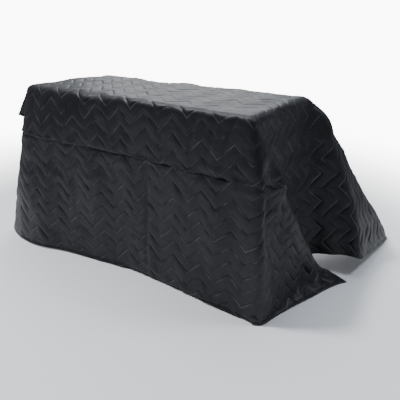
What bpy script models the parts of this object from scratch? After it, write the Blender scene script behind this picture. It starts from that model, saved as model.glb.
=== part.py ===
"""Insulated pallet blanket: a quilted cover draped over a block-shaped load.

The cover is one large rectangle of quilt, sewn from two widths. It lies flat
on top of its load, hangs down on all four sides, and its surplus stands out
as a fold at each corner. The load itself is not part of the model.

Units are metres, +Z is up. The origin is the middle of the underside of the
top, +X runs along the long side and -Y is the front. A point of the cloth is
named by its place (u, v) on the flat, uncut rectangle, whose axes lie along
X and Y, and drape() says where that point hangs.
"""

import bpy
import numpy as np
from mathutils import Vector
from mathutils.geometry import delaunay_2d_cdt

# The top of the load and the height at which it lies
TOP_LENGTH = 1.794
TOP_WIDTH = 0.795
DROP = 1.218

# How far the cloth reaches past the top on each side, measured flat
FRONT_HANG = 1.230
BACK_HANG = 1.030
RIGHT_HANG = 1.120
LEFT_HANG = 0.290

# The two sewn widths and the hem
SEAM_BELOW_EDGE = 0.352
SEAM_GAP = 0.0006
SEAM_TIE = 0.0075
HEM_WIDTH = 0.028

# The quilting: zigzag stitch lines that run along X and turn after each step
STITCH_PITCH = 0.100
ZIGZAG_STEP = 0.1014
ZIGZAG_HEIGHT = 0.100
ZIGZAG_START = -0.819
ZIGZAG_RAISE = 0.008
THICKNESS_AT_STITCH = 0.0045
THICKNESS_BETWEEN = 0.0110
THICKNESS_AT_HEM = 0.0045
SQUEEZED_NEAR_CORNER = 0.45

# How softly the cloth turns over the edges and folds, and the most that it
# takes to bend at the floor, to each side of the foot of a ray
SOFT_RADIUS = 0.036
FLOOR_BEND = 0.16

HALF_LENGTH = TOP_LENGTH / 2
HALF_WIDTH = TOP_WIDTH / 2
LEFT = -HALF_LENGTH - LEFT_HANG
RIGHT = HALF_LENGTH + RIGHT_HANG
FRONT = -HALF_WIDTH - FRONT_HANG
BACK = HALF_WIDTH + BACK_HANG
SEAM = -HALF_WIDTH - SEAM_BELOW_EDGE

# The hang of the four sides. Each row is one place along a top edge, and says
# how far the cloth below it has moved along X and Y for each metre it drops.
FRONT_SIDE = (
    # along X, move X, move Y
    (-HALF_LENGTH, 0.000, -0.145),
    (-0.770, 0.000, -0.128),
    (-0.610, 0.000, -0.082),
    (-0.440, 0.000, -0.052),
    (-0.260, 0.000, -0.028),
    (-0.090, 0.000, -0.004),
    (0.250, 0.000, 0.004),
    (0.600, 0.000, 0.000),
    (HALF_LENGTH, 0.000, -0.002),
)
RIGHT_SIDE = (
    # along Y, move X, move Y
    (-HALF_WIDTH, 0.008, 0.055),
    (-0.180, 0.010, 0.045),
    (0.050, 0.028, 0.030),
    (0.170, 0.048, 0.020),
    (0.280, 0.088, 0.015),
    (HALF_WIDTH, 0.170, 0.010),
)
BACK_SIDE = (
    # along X, move X, move Y
    (HALF_LENGTH, 0.000, 0.120),
    (0.600, 0.000, 0.090),
    (0.250, 0.000, 0.130),
    (-0.150, 0.000, 0.080),
    (-0.550, 0.000, 0.120),
    (-HALF_LENGTH, 0.000, 0.100),
)
LEFT_SIDE = (
    # along Y, move X, move Y
    (HALF_WIDTH, -0.400, 0.000),
    (0.100, -0.470, 0.000),
    (-0.150, -0.540, 0.000),
    (-HALF_WIDTH, -0.760, 0.000),
)

# The corner folds. The cloth fans out from the corner of the top, and each
# row is one ray of the fan: its angle on the flat cloth in degrees, counted
# from the side named first, and its move along X and Y for a metre of drop.
FRONT_RIGHT_FOLD = (
    # angle from the front, move X, move Y
    (0.0, 0.000, -0.002),
    (7.0, 0.104, -0.003),
    (10.0, 0.118, 0.043),
    (15.0, 0.124, 0.112),
    (20.0, 0.136, 0.187),
    (30.0, 0.158, 0.355),
    (36.0, 0.170, 0.475),
    (39.5, 0.182, 0.550),
    (42.6, 0.190, 0.610),
    (46.2, 0.188, 0.655),
    (49.8, 0.154, 0.640),
    (56.0, 0.114, 0.530),
    (66.0, 0.092, 0.375),
    (78.0, 0.078, 0.185),
    (84.0, 0.066, 0.088),
    (90.0, 0.008, 0.055),
)
RIGHT_BACK_FOLD = (
    # angle from the right, move X, move Y
    (0.0, 0.170, 0.010),
    (5.5, 0.266, 0.018),
    (12.0, 0.362, 0.046),
    (14.5, 0.402, 0.042),
    (18.0, 0.450, 0.036),
    (22.0, 0.458, 0.110),
    (28.0, 0.462, 0.245),
    (34.0, 0.468, 0.385),
    (39.0, 0.471, 0.510),
    (42.6, 0.470, 0.606),
    (47.0, 0.452, 0.706),
    (52.0, 0.370, 0.706),
    (62.0, 0.232, 0.560),
    (74.0, 0.135, 0.350),
    (90.0, 0.000, 0.120),
)
BACK_LEFT_FOLD = (
    # angle from the back, move X, move Y
    (0.0, 0.000, 0.100),
    (12.0, -0.150, 0.220),
    (26.0, -0.390, 0.380),
    (40.0, -0.700, 0.520),
    (52.0, -0.900, 0.460),
    (64.0, -0.820, 0.240),
    (77.0, -0.600, 0.060),
    (90.0, -0.400, 0.000),
)
LEFT_FRONT_FOLD = (
    # angle from the left, move X, move Y
    (0.0, -0.760, 0.000),
    (12.0, -0.680, 0.090),
    (25.0, -0.540, 0.280),
    (36.0, -0.380, 0.420),
    (45.0, -0.290, 0.380),
    (56.0, -0.290, 0.180),
    (68.0, -0.320, -0.010),
    (77.0, -0.280, -0.085),
    (84.0, -0.125, -0.135),
    (90.0, 0.000, -0.145),
)

# The two folds on the right are not quite straight. Each ray sways sideways
# on its way down, and is back in line at the floor.
FRONT_RIGHT_BELLY = (
    # angle from the front, sway X, sway Y, both at two thirds of the way down
    (0.0, 0.000, 0.000),
    (7.0, 0.018, -0.004),
    (12.0, 0.010, 0.000),
    (19.0, -0.027, 0.000),
    (26.0, -0.025, -0.004),
    (33.0, 0.010, -0.022),
    (39.0, 0.036, -0.044),
    (43.5, 0.036, -0.058),
    (46.6, 0.018, -0.064),
    (50.0, -0.006, -0.050),
    (57.0, -0.010, -0.020),
    (68.0, 0.000, 0.000),
    (90.0, 0.000, 0.000),
)
RIGHT_BACK_BELLY = (
    # angle from the right, sway X, sway Y, both at half of the way down
    (0.0, 0.000, 0.000),
    (8.0, 0.004, 0.028),
    (14.0, 0.020, 0.066),
    (18.0, 0.032, 0.088),
    (22.0, 0.034, 0.080),
    (30.0, 0.024, 0.048),
    (40.0, 0.008, 0.010),
    (48.0, 0.000, 0.000),
    (90.0, 0.000, 0.000),
)

# Rays along which a fold turns sharply, so the mesh is cut along them
FOLD_LINES = (
    # corner along X, corner along Y, angle from the X axis on the flat cloth
    (HALF_LENGTH, -HALF_WIDTH, -83.0),
    (HALF_LENGTH, -HALF_WIDTH, -45.0),
    (HALF_LENGTH, -HALF_WIDTH, -41.5),
    (HALF_LENGTH, -HALF_WIDTH, -6.0),
    (HALF_LENGTH, HALF_WIDTH, 18.0),
    (HALF_LENGTH, HALF_WIDTH, 48.5),
)
FOLD_LINE_START = 0.10

# Soft rises and dips of the whole cloth: their middle on the flat cloth,
# their half widths, and how far they push out along X, Y and Z
SWELLS = (
    # u, v, half width along u, half width along v, push X, push Y, push Z
    (-0.62, -0.62, 0.45, 0.36, 0.000, -0.030, 0.000),
    (0.98, -0.68, 0.13, 0.30, 0.026, 0.000, 0.000),
    (0.97, -0.94, 0.11, 0.34, 0.016, 0.000, 0.000),
    (1.19, -0.70, 0.18, 0.20, 0.034, 0.000, 0.000),
    (1.06, 0.52, 0.24, 0.22, 0.048, 0.000, 0.018),
    (1.26, 0.72, 0.22, 0.24, 0.018, 0.000, 0.014),
    (-0.25, -0.41, 0.26, 0.10, 0.000, 0.000, -0.022),
    (-0.32, 0.41, 0.26, 0.13, 0.000, 0.000, -0.024),
    (0.18, 0.41, 0.24, 0.10, 0.000, 0.000, -0.012),
    (-0.90, 0.05, 0.14, 0.24, 0.000, 0.000, 0.010),
    (0.22, -1.00, 0.20, 0.36, 0.000, 0.014, 0.000),
    (0.70, -1.05, 0.16, 0.34, 0.000, -0.012, 0.000),
    (-0.30, -1.05, 0.18, 0.34, 0.000, -0.010, 0.000),
    (0.30, 0.95, 0.22, 0.40, 0.000, 0.020, 0.000),
    (-0.40, 0.95, 0.22, 0.40, 0.000, -0.015, 0.000),
)


def read_rows(rows, place):
    """Follow a smooth curve through the rows of a table, at each place."""
    table = np.array(rows)
    if table[0, 0] > table[-1, 0]:
        table = table[::-1]
    knots = table[:, 0]
    values = table[:, 1:]
    gaps = np.diff(knots)
    steps = np.diff(values, axis=0) / gaps[:, None]
    slopes = np.vstack([steps[:1], (steps[1:] + steps[:-1]) / 2, steps[-1:]])
    place = np.clip(place, knots[0], knots[-1])
    row = np.clip(np.searchsorted(knots, place) - 1, 0, len(gaps) - 1)
    gap = gaps[row][:, None]
    t = ((place - knots[row]) / gaps[row])[:, None]
    start_weight = 2 * t**3 - 3 * t**2 + 1
    end_weight = 3 * t**2 - 2 * t**3
    start_slope = (t**3 - 2 * t**2 + t) * gap
    end_slope = (t**3 - t**2) * gap
    return (start_weight * values[row] + end_weight * values[row + 1]
            + start_slope * slopes[row] + end_slope * slopes[row + 1])


def lay_out(start, ray, reach, full):
    """Follow straight rays down, and bend what is spare outwards at the floor.

    full is the length of each ray up to the hem. The more cloth is spare
    there, the softer is the bend.
    """
    hanging = DROP / -ray[:, 2]
    bend = np.clip(full - hanging, 0.0, FLOOR_BEND)
    leave = start + ray * (hanging - bend)[:, None]
    foot = start + ray * hanging[:, None]
    load = np.clip(foot[:, :2], (-HALF_LENGTH, -HALF_WIDTH), (HALF_LENGTH, HALF_WIDTH))
    away = np.zeros_like(foot)
    away[:, :2] = foot[:, :2] - load
    away /= np.maximum(np.linalg.norm(away, axis=1), 1e-6)[:, None]

    t = np.clip((reach - hanging + bend) / np.maximum(2 * bend, 1e-9), 0.0, 1.0)[:, None]
    past = np.maximum(reach - hanging - bend, 0.0)[:, None]
    bent = ((1 - t)**2 * leave + 2 * t * (1 - t) * foot
            + t**2 * (foot + away * bend[:, None]) + away * past)
    return np.where(t > 0, bent, start + ray * reach[:, None])


def hang(u, v):
    """Place flat cloth points on the drape, with sharp edges at the top."""
    over_u = u - np.clip(u, -HALF_LENGTH, HALF_LENGTH)
    over_v = v - np.clip(v, -HALF_WIDTH, HALF_WIDTH)
    reach = np.hypot(over_u, over_v)
    start = np.stack([u - over_u, v - over_v, np.zeros_like(u)], axis=1)
    move = np.zeros((len(u), 2))
    angle = np.degrees(np.arctan2(over_v, over_u))

    sides = (
        (FRONT_SIDE, (over_u == 0) & (over_v < 0), u),
        (RIGHT_SIDE, (over_u > 0) & (over_v == 0), v),
        (BACK_SIDE, (over_u == 0) & (over_v > 0), u),
        (LEFT_SIDE, (over_u < 0) & (over_v == 0), v),
        (FRONT_RIGHT_FOLD, (over_u > 0) & (over_v < 0), angle + 90.0),
        (RIGHT_BACK_FOLD, (over_u > 0) & (over_v > 0), angle),
        (BACK_LEFT_FOLD, (over_u < 0) & (over_v > 0), angle - 90.0),
        (LEFT_FRONT_FOLD, (over_u < 0) & (over_v < 0), angle + 180.0),
    )
    for rows, here, place in sides:
        if here.any():
            move[here] = read_rows(rows, place[here])

    ray = np.column_stack([move, -np.ones(len(u))])
    ray /= np.linalg.norm(ray, axis=1)[:, None]
    side_hang = np.where(over_u > 0, RIGHT_HANG, LEFT_HANG) / np.maximum(np.abs(over_u), 1e-6)
    end_hang = np.where(over_v > 0, BACK_HANG, FRONT_HANG) / np.maximum(np.abs(over_v), 1e-6)
    points = lay_out(start, ray, reach, reach * np.minimum(side_hang, end_hang))

    bellies = (
        (FRONT_RIGHT_BELLY, (over_u > 0) & (over_v < 0), angle + 90.0, 6.75, 2, 1),
        (RIGHT_BACK_BELLY, (over_u > 0) & (over_v > 0), angle, 16.0, 2, 2),
    )
    for rows, here, place, gain, late, early in bellies:
        if here.any():
            fallen = np.clip(-points[here, 2] / DROP, 0.0, 1.0)[:, None]
            sway = gain * fallen**late * (1 - fallen) ** early
            points[here, :2] += read_rows(rows, place[here]) * sway
    return points


def add_swells(u, v, points):
    """Push the cloth out or in by the soft rises and dips."""
    for mid_u, mid_v, wide_u, wide_v, *push in SWELLS:
        far = np.minimum(np.hypot((u - mid_u) / wide_u, (v - mid_v) / wide_v), 1.0)
        rise = (np.cos(np.pi * far) + 1) / 2
        points += rise[:, None] * np.array(push)
    return points


def drape(u, v):
    """The underside of the hung cloth: hang() averaged over a small disc."""
    total = hang(u, v)
    count = 1
    for ring, spokes in ((0.5, 6), (1.0, 12)):
        for spoke in range(spokes):
            turn = 2 * np.pi * spoke / spokes
            shift_u = SOFT_RADIUS * ring * np.cos(turn)
            shift_v = SOFT_RADIUS * ring * np.sin(turn)
            total += hang(u + shift_u, v + shift_v)
            count += 1
    points = add_swells(u, v, total / count)
    points[:, 2] = np.maximum(points[:, 2], -DROP)
    return points


def zigzag(u):
    """How far a stitch line stands to the back of its row at u."""
    step = (u - ZIGZAG_START) / ZIGZAG_STEP
    wave = np.abs((step % 2) - 1)
    return ZIGZAG_RAISE + ZIGZAG_HEIGHT * (wave - 0.5)


def thickness(u, v, quilt):
    """Thin at a stitch line, a hem and a seam, and full in between.

    The quilt is squeezed where the layers of a fold meet at a corner.
    """
    left, right, front, back = quilt
    phase = ((v - zigzag(u)) / STITCH_PITCH) % 1.0
    puff = 1 - np.abs(2 * phase - 1)
    far = np.hypot(np.abs(u) - HALF_LENGTH, np.abs(v) - HALF_WIDTH) / SQUEEZED_NEAR_CORNER
    puff = puff * np.clip(far, 0.0, 1.0) ** 2
    body = THICKNESS_AT_STITCH + (THICKNESS_BETWEEN - THICKNESS_AT_STITCH) * puff
    inside = (u > left + 1e-6) & (u < right - 1e-6) & (v > front + 1e-6) & (v < back - 1e-6)
    return np.where(inside, body, THICKNESS_AT_HEM)


def clip_line(start, end, box):
    """The part of a straight line that lies in a box, or None."""
    left, right, front, back = box
    first = 0.0
    last = 1.0
    run = end - start
    for axis, low, high in ((0, left, right), (1, front, back)):
        if abs(run[axis]) < 1e-12:
            if not low <= start[axis] <= high:
                return None
            continue
        near = (low - start[axis]) / run[axis]
        far = (high - start[axis]) / run[axis]
        first = max(first, min(near, far))
        last = min(last, max(near, far))
    if last - first < 1e-9:
        return None
    return start + run * first, start + run * last


def line_columns(left, right, halfway=True):
    """Places along X where the zigzag turns, and halfway ones past the ends."""
    first = int(np.floor((left - ZIGZAG_START) / ZIGZAG_STEP)) * 2
    last = int(np.ceil((right - ZIGZAG_START) / ZIGZAG_STEP)) * 2
    count = np.arange(first, last + 1)
    columns = ZIGZAG_START + ZIGZAG_STEP / 2 * count
    return columns[(count % 2 == 0) | (halfway & (np.abs(columns) > HALF_LENGTH))]


def zigzag_lines(quilt):
    """Stitch lines and the crests between them, clipped to the quilted area.

    They bend most often in the folds, which lie beyond the top's width.
    """
    left, right, front, back = quilt
    half_pitch = STITCH_PITCH / 2
    first_row = int(np.floor(front / half_pitch)) - 2
    last_row = int(np.ceil(back / half_pitch)) + 2
    lines = []
    for row in range(first_row, last_row + 1):
        columns = line_columns(left, right, abs(row * half_pitch) > HALF_WIDTH)
        path = np.column_stack([columns, row * half_pitch + zigzag(columns)])
        for start, end in zip(path[:-1], path[1:]):
            piece = clip_line(start, end, quilt)
            if piece:
                lines.append(piece)
    return lines


def edge_lines(panel):
    """Straight lines on both sides of each top edge, so it turns in two steps."""
    left, right, front, back = panel
    band = STITCH_PITCH / 8
    lines = []
    for side in (-HALF_LENGTH, HALF_LENGTH):
        for shift in (-band, band):
            lines.append(((side + shift, front), (side + shift, back)))
    middle = round(HALF_WIDTH / (STITCH_PITCH / 2)) * STITCH_PITCH / 2
    for side in (-middle, middle):
        for shift in (-band, band):
            lines.append(((left, side + shift), (right, side + shift)))
    pieces = [clip_line(np.array(a), np.array(b), panel) for a, b in lines]
    return [piece for piece in pieces if piece]


def fold_lines(panel):
    """Lines along the sharp turns of the folds."""
    pieces = []
    for corner_u, corner_v, degrees in FOLD_LINES:
        along = np.array([np.cos(np.radians(degrees)), np.sin(np.radians(degrees))])
        corner = np.array([corner_u, corner_v])
        start = corner + FOLD_LINE_START * along
        pieces.append(clip_line(start, corner + 3.0 * along, panel))
    return [piece for piece in pieces if piece]


def hem_ties(panel, quilt):
    """Short lines across the hems and at the seam.

    They let a hem bend as often as the quilting, and give both sides of the
    seam the same points.
    """
    left, right, front, back = panel
    quilt_left, quilt_right, quilt_front, quilt_back = quilt
    ties = []
    for u in line_columns(quilt_left, quilt_right):
        if quilt_left < u < quilt_right:
            ties.append(((u, front), (u, max(quilt_front, front + SEAM_TIE))))
            ties.append(((u, min(quilt_back, back - SEAM_TIE)), (u, back)))
    half_pitch = STITCH_PITCH / 2
    first_row = int(np.ceil(quilt_front / half_pitch))
    last_row = int(np.floor(quilt_back / half_pitch))
    for row in range(first_row, last_row + 1):
        v_left = row * half_pitch + zigzag(quilt_left)
        v_right = row * half_pitch + zigzag(quilt_right)
        if quilt_front < v_left < quilt_back:
            ties.append(((left, v_left), (quilt_left, v_left)))
        if quilt_front < v_right < quilt_back:
            ties.append(((quilt_right, v_right), (right, v_right)))
    return [(a, b) for a, b in ties if abs(a[0] - b[0]) + abs(a[1] - b[1]) > 1e-6]


def cut_panel(panel, quilt):
    """Split a flat panel into triangles that follow its stitch lines."""
    points = []
    edges = []

    def add_line(start, end):
        edges.append((len(points), len(points) + 1))
        points.extend([Vector(start), Vector(end)])

    for left, right, front, back in (panel, quilt):
        add_line((left, front), (right, front))
        add_line((right, front), (right, back))
        add_line((right, back), (left, back))
        add_line((left, back), (left, front))
    for start, end in zigzag_lines(quilt) + hem_ties(panel, quilt):
        add_line(start, end)
    for start, end in edge_lines(quilt) + fold_lines(panel):
        add_line(start, end)
    flat, _, faces, _, _, _ = delaunay_2d_cdt(points, edges, [], 0, 0.0006)
    return np.array([tuple(point) for point in flat]), [tuple(face) for face in faces]


def quilt_normals(u, v):
    """Outward directions of the draped cloth, from small steps on it."""
    step = 0.012
    along = drape(u + step, v) - drape(u - step, v)
    across = drape(u, v + step) - drape(u, v - step)
    normals = np.cross(along, across)
    return normals / np.maximum(np.linalg.norm(normals, axis=1), 1e-12)[:, None]


def build_panel(name, panel, quilt, colour):
    """Make one sewn width of the quilt as a closed, hung sheet."""
    flat, faces = cut_panel(panel, quilt)
    u = flat[:, 0]
    v = flat[:, 1]
    inner = drape(u, v)
    outer = inner + quilt_normals(u, v) * thickness(u, v, quilt)[:, None]

    ordered = []
    for a, b, c in faces:
        turn = (u[b] - u[a]) * (v[c] - v[a]) - (u[c] - u[a]) * (v[b] - v[a])
        ordered.append((a, b, c) if turn > 0 else (a, c, b))
    used = {}
    for a, b, c in ordered:
        for edge in ((a, b), (b, c), (c, a)):
            used[edge] = True
    rim = [(a, b) for a, b in used if (b, a) not in used]

    count = len(flat)
    polygons = list(ordered)
    polygons += [(a + count, c + count, b + count) for a, b, c in ordered]
    for a, b in rim:
        # both widths split the faces along the seam the same way
        if (u[a], v[a]) < (u[b], v[b]):
            polygons += [(b, a, a + count), (b, a + count, b + count)]
        else:
            polygons += [(b, a, b + count), (a, a + count, b + count)]
    mesh = bpy.data.meshes.new(name)
    mesh.from_pydata([tuple(p) for p in np.vstack([outer, inner])], [], polygons)
    mesh.shade_smooth()
    mesh.validate()
    blanket = bpy.data.objects.new(name, mesh)
    bpy.context.scene.collection.objects.link(blanket)
    mesh.materials.append(make_cloth_material(name + "_cloth", colour))
    return blanket


def make_cloth_material(name, colour):
    """Matt woven cloth."""
    material = bpy.data.materials.new(name)
    material.use_nodes = True
    shader = material.node_tree.nodes["Principled BSDF"]
    shader.inputs["Base Color"].default_value = (*colour, 1.0)
    shader.inputs["Roughness"].default_value = 0.55
    shader.inputs["Metallic"].default_value = 0.0
    return material


def main():
    for old in list(bpy.data.objects):
        bpy.data.objects.remove(old, do_unlink=True)
    quilt_left = LEFT + HEM_WIDTH
    quilt_right = RIGHT - HEM_WIDTH
    quilt_front = FRONT + HEM_WIDTH
    quilt_back = BACK - HEM_WIDTH
    seam_low = SEAM - SEAM_GAP / 2
    seam_high = SEAM + SEAM_GAP / 2
    build_panel("main_panel", (LEFT, RIGHT, seam_high, BACK),
                (quilt_left, quilt_right, seam_high, quilt_back), (0.020, 0.021, 0.026))
    build_panel("front_panel", (LEFT, RIGHT, FRONT, seam_low),
                (quilt_left, quilt_right, quilt_front, seam_low), (0.022, 0.023, 0.028))


main()
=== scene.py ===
# %% [markdown]
# # An insulated pallet blanket, from cut cloth to photograph
# The blanket is one big rectangle of quilt. Its top lies flat, its sides hang
# steeply and its spare cloth stands out in folds at the corners. The solids of
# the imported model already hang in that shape. This script replaces each of
# them with a finer sheet that has the stitching, the puckers and the small
# creases, and then lights and frames it as in the photograph.

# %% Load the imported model
import bpy
import numpy as np
from mathutils import Matrix, Vector


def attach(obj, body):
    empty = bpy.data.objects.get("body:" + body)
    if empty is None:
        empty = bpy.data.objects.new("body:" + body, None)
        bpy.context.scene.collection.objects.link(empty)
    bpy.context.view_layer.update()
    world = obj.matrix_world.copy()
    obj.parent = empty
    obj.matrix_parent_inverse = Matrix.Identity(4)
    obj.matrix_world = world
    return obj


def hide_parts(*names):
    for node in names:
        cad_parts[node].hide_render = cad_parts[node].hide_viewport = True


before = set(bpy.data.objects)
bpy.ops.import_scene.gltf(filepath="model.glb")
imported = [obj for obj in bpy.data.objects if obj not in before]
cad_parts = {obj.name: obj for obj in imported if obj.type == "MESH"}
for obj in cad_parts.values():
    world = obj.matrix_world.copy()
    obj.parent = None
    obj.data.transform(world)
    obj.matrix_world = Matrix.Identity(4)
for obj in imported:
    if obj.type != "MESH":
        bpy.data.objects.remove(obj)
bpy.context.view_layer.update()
print("nodes:", sorted(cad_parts))

# %% [markdown]
# ## The cut of the cloth
# A quilter would start from a flat plan: how long and wide the blanket is,
# where the two widths are sewn together, and how the zigzag lines run. Every
# point of the cloth gets a flat address (u, v) in metres, with u along the
# long side. All later steps, even the material, work from that address.

# %% Sizes on the flat cloth
TOP_LENGTH = 1.794
TOP_WIDTH = 0.795
DROP = 1.218
FRONT_HANG = 1.230
BACK_HANG = 1.030
RIGHT_HANG = 1.120
LEFT_HANG = 0.290
SEAM_BELOW_EDGE = 0.352
SEAM_GAP = 0.0006
HEM_WIDTH = 0.028
STITCH_PITCH = 0.100
ZIGZAG_STEP = 0.1014
ZIGZAG_HEIGHT = 0.100
ZIGZAG_START = -0.819
ZIGZAG_RAISE = 0.008

HALF_LENGTH = TOP_LENGTH / 2
HALF_WIDTH = TOP_WIDTH / 2
LEFT = -HALF_LENGTH - LEFT_HANG
RIGHT = HALF_LENGTH + RIGHT_HANG
FRONT = -HALF_WIDTH - FRONT_HANG
BACK = HALF_WIDTH + BACK_HANG
SEAM = -HALF_WIDTH - SEAM_BELOW_EDGE
print(f"flat blanket: {RIGHT - LEFT:.3f} by {BACK - FRONT:.3f} m")

# %% [markdown]
# ## How the cloth hangs
# A cloth simulation would give some fall, but not the one in the photograph.
# So the fall is described with tables instead. Each row says how far the
# cloth moves sideways for every metre that it drops. Four tables are for the
# sides, and four are for the corners, where the surplus cloth fans out.

# %% Tables for the sides
FRONT_SIDE = (
    # along X, move X, move Y
    (-HALF_LENGTH, 0.000, -0.145),
    (-0.770, 0.000, -0.128),
    (-0.610, 0.000, -0.082),
    (-0.440, 0.000, -0.052),
    (-0.260, 0.000, -0.028),
    (-0.090, 0.000, -0.004),
    (0.250, 0.000, 0.004),
    (0.600, 0.000, 0.000),
    (HALF_LENGTH, 0.000, -0.002),
)
RIGHT_SIDE = (
    # along Y, move X, move Y
    (-HALF_WIDTH, 0.008, 0.055),
    (-0.180, 0.010, 0.045),
    (0.050, 0.028, 0.030),
    (0.170, 0.048, 0.020),
    (0.280, 0.088, 0.015),
    (HALF_WIDTH, 0.170, 0.010),
)
BACK_SIDE = (
    # along X, move X, move Y
    (HALF_LENGTH, 0.000, 0.120),
    (0.600, 0.000, 0.090),
    (0.250, 0.000, 0.130),
    (-0.150, 0.000, 0.080),
    (-0.550, 0.000, 0.120),
    (-HALF_LENGTH, 0.000, 0.100),
)
LEFT_SIDE = (
    # along Y, move X, move Y
    (HALF_WIDTH, -0.400, 0.000),
    (0.100, -0.470, 0.000),
    (-0.150, -0.540, 0.000),
    (-HALF_WIDTH, -0.760, 0.000),
)
print("rows for the sides:", len(FRONT_SIDE) + len(RIGHT_SIDE)
      + len(BACK_SIDE) + len(LEFT_SIDE))

# %% Tables for the corner folds
FRONT_RIGHT_FOLD = (
    # angle from the front, move X, move Y
    (0.0, 0.000, -0.002),
    (7.0, 0.104, -0.003),
    (10.0, 0.118, 0.043),
    (15.0, 0.124, 0.112),
    (20.0, 0.136, 0.187),
    (30.0, 0.158, 0.355),
    (36.0, 0.170, 0.475),
    (39.5, 0.182, 0.550),
    (42.6, 0.190, 0.610),
    (46.2, 0.188, 0.655),
    (49.8, 0.154, 0.640),
    (56.0, 0.114, 0.530),
    (66.0, 0.092, 0.375),
    (78.0, 0.078, 0.185),
    (84.0, 0.066, 0.088),
    (90.0, 0.008, 0.055),
)
RIGHT_BACK_FOLD = (
    # angle from the right, move X, move Y
    (0.0, 0.170, 0.010),
    (5.5, 0.266, 0.018),
    (12.0, 0.362, 0.046),
    (14.5, 0.402, 0.042),
    (18.0, 0.450, 0.036),
    (22.0, 0.458, 0.110),
    (28.0, 0.462, 0.245),
    (34.0, 0.468, 0.385),
    (39.0, 0.471, 0.510),
    (42.6, 0.470, 0.606),
    (47.0, 0.452, 0.706),
    (52.0, 0.370, 0.706),
    (62.0, 0.232, 0.560),
    (74.0, 0.135, 0.350),
    (90.0, 0.000, 0.120),
)
BACK_LEFT_FOLD = (
    # angle from the back, move X, move Y
    (0.0, 0.000, 0.100),
    (12.0, -0.150, 0.220),
    (26.0, -0.390, 0.380),
    (40.0, -0.700, 0.520),
    (52.0, -0.900, 0.460),
    (64.0, -0.820, 0.240),
    (77.0, -0.600, 0.060),
    (90.0, -0.400, 0.000),
)
LEFT_FRONT_FOLD = (
    # angle from the left, move X, move Y
    (0.0, -0.760, 0.000),
    (12.0, -0.680, 0.090),
    (25.0, -0.540, 0.280),
    (36.0, -0.380, 0.420),
    (45.0, -0.290, 0.380),
    (56.0, -0.290, 0.180),
    (68.0, -0.320, -0.010),
    (77.0, -0.280, -0.085),
    (84.0, -0.125, -0.135),
    (90.0, 0.000, -0.145),
)
print("rows for the folds:", len(FRONT_RIGHT_FOLD) + len(RIGHT_BACK_FOLD)
      + len(BACK_LEFT_FOLD) + len(LEFT_FRONT_FOLD))

# %% [markdown]
# The two folds on the right aren't quite straight in the photograph. Each of
# their rays sways sideways on its way down, and is back in line at the floor.
# The near fold gets its valley and its rolled ridge from this. The sway along
# a ray is gain * t**late * (1 - t)**early, where t runs from 0 at the top to 1
# at the floor. The gains are chosen so that it is 1 where it is greatest.

# %% Tables for the sway of the two folds on the right
NEAR_SWAY = (6.75, 2, 1)  # gain, late, early
FAR_SWAY = (16.0, 2, 2)
FRONT_RIGHT_BELLY = (
    # angle from the front, sway X, sway Y, both at two thirds of the way down
    (0.0, 0.000, 0.000),
    (7.0, 0.018, -0.004),
    (12.0, 0.010, 0.000),
    (19.0, -0.027, 0.000),
    (26.0, -0.025, -0.004),
    (33.0, 0.010, -0.022),
    (39.0, 0.036, -0.044),
    (43.5, 0.036, -0.058),
    (46.6, 0.018, -0.064),
    (50.0, -0.006, -0.050),
    (57.0, -0.010, -0.020),
    (68.0, 0.000, 0.000),
    (90.0, 0.000, 0.000),
)
RIGHT_BACK_BELLY = (
    # angle from the right, sway X, sway Y, both at half of the way down
    (0.0, 0.000, 0.000),
    (8.0, 0.004, 0.028),
    (14.0, 0.020, 0.066),
    (18.0, 0.032, 0.088),
    (22.0, 0.034, 0.080),
    (30.0, 0.024, 0.048),
    (40.0, 0.008, 0.010),
    (48.0, 0.000, 0.000),
    (90.0, 0.000, 0.000),
)
print("rows for the sway:", len(FRONT_RIGHT_BELLY) + len(RIGHT_BACK_BELLY))

# %% [markdown]
# Real cloth also swells and sinks a little between its folds. Those rises are
# soft bumps with a middle, a half width each way, and a push along X, Y and Z.

# %% Soft rises and dips
SWELLS = (
    # u, v, half width along u, half width along v, push X, push Y, push Z
    (-0.62, -0.62, 0.45, 0.36, 0.000, -0.030, 0.000),
    (0.98, -0.68, 0.13, 0.30, 0.026, 0.000, 0.000),
    (0.97, -0.94, 0.11, 0.34, 0.016, 0.000, 0.000),
    (1.19, -0.70, 0.18, 0.20, 0.034, 0.000, 0.000),
    (1.06, 0.52, 0.24, 0.22, 0.048, 0.000, 0.018),
    (1.26, 0.72, 0.22, 0.24, 0.018, 0.000, 0.014),
    (-0.25, -0.41, 0.26, 0.10, 0.000, 0.000, -0.022),
    (-0.32, 0.41, 0.26, 0.13, 0.000, 0.000, -0.024),
    (0.18, 0.41, 0.24, 0.10, 0.000, 0.000, -0.012),
    (-0.90, 0.05, 0.14, 0.24, 0.000, 0.000, 0.010),
    (0.22, -1.00, 0.20, 0.36, 0.000, 0.014, 0.000),
    (0.70, -1.05, 0.16, 0.34, 0.000, -0.012, 0.000),
    (-0.30, -1.05, 0.18, 0.34, 0.000, -0.010, 0.000),
    (0.30, 0.95, 0.22, 0.40, 0.000, 0.020, 0.000),
    (-0.40, 0.95, 0.22, 0.40, 0.000, -0.015, 0.000),
)
SOFT_RADIUS = 0.036
FLOOR_BEND = 0.16
print("soft rises and dips:", len(SWELLS))

# %% [markdown]
# ## From a flat address to a place in the room
# First we need a smooth curve through the rows of a table. The usual choice
# is a cubic Hermite curve, because it passes through every row and has no
# kinks, so a fold looks rounded and not faceted.

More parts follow.
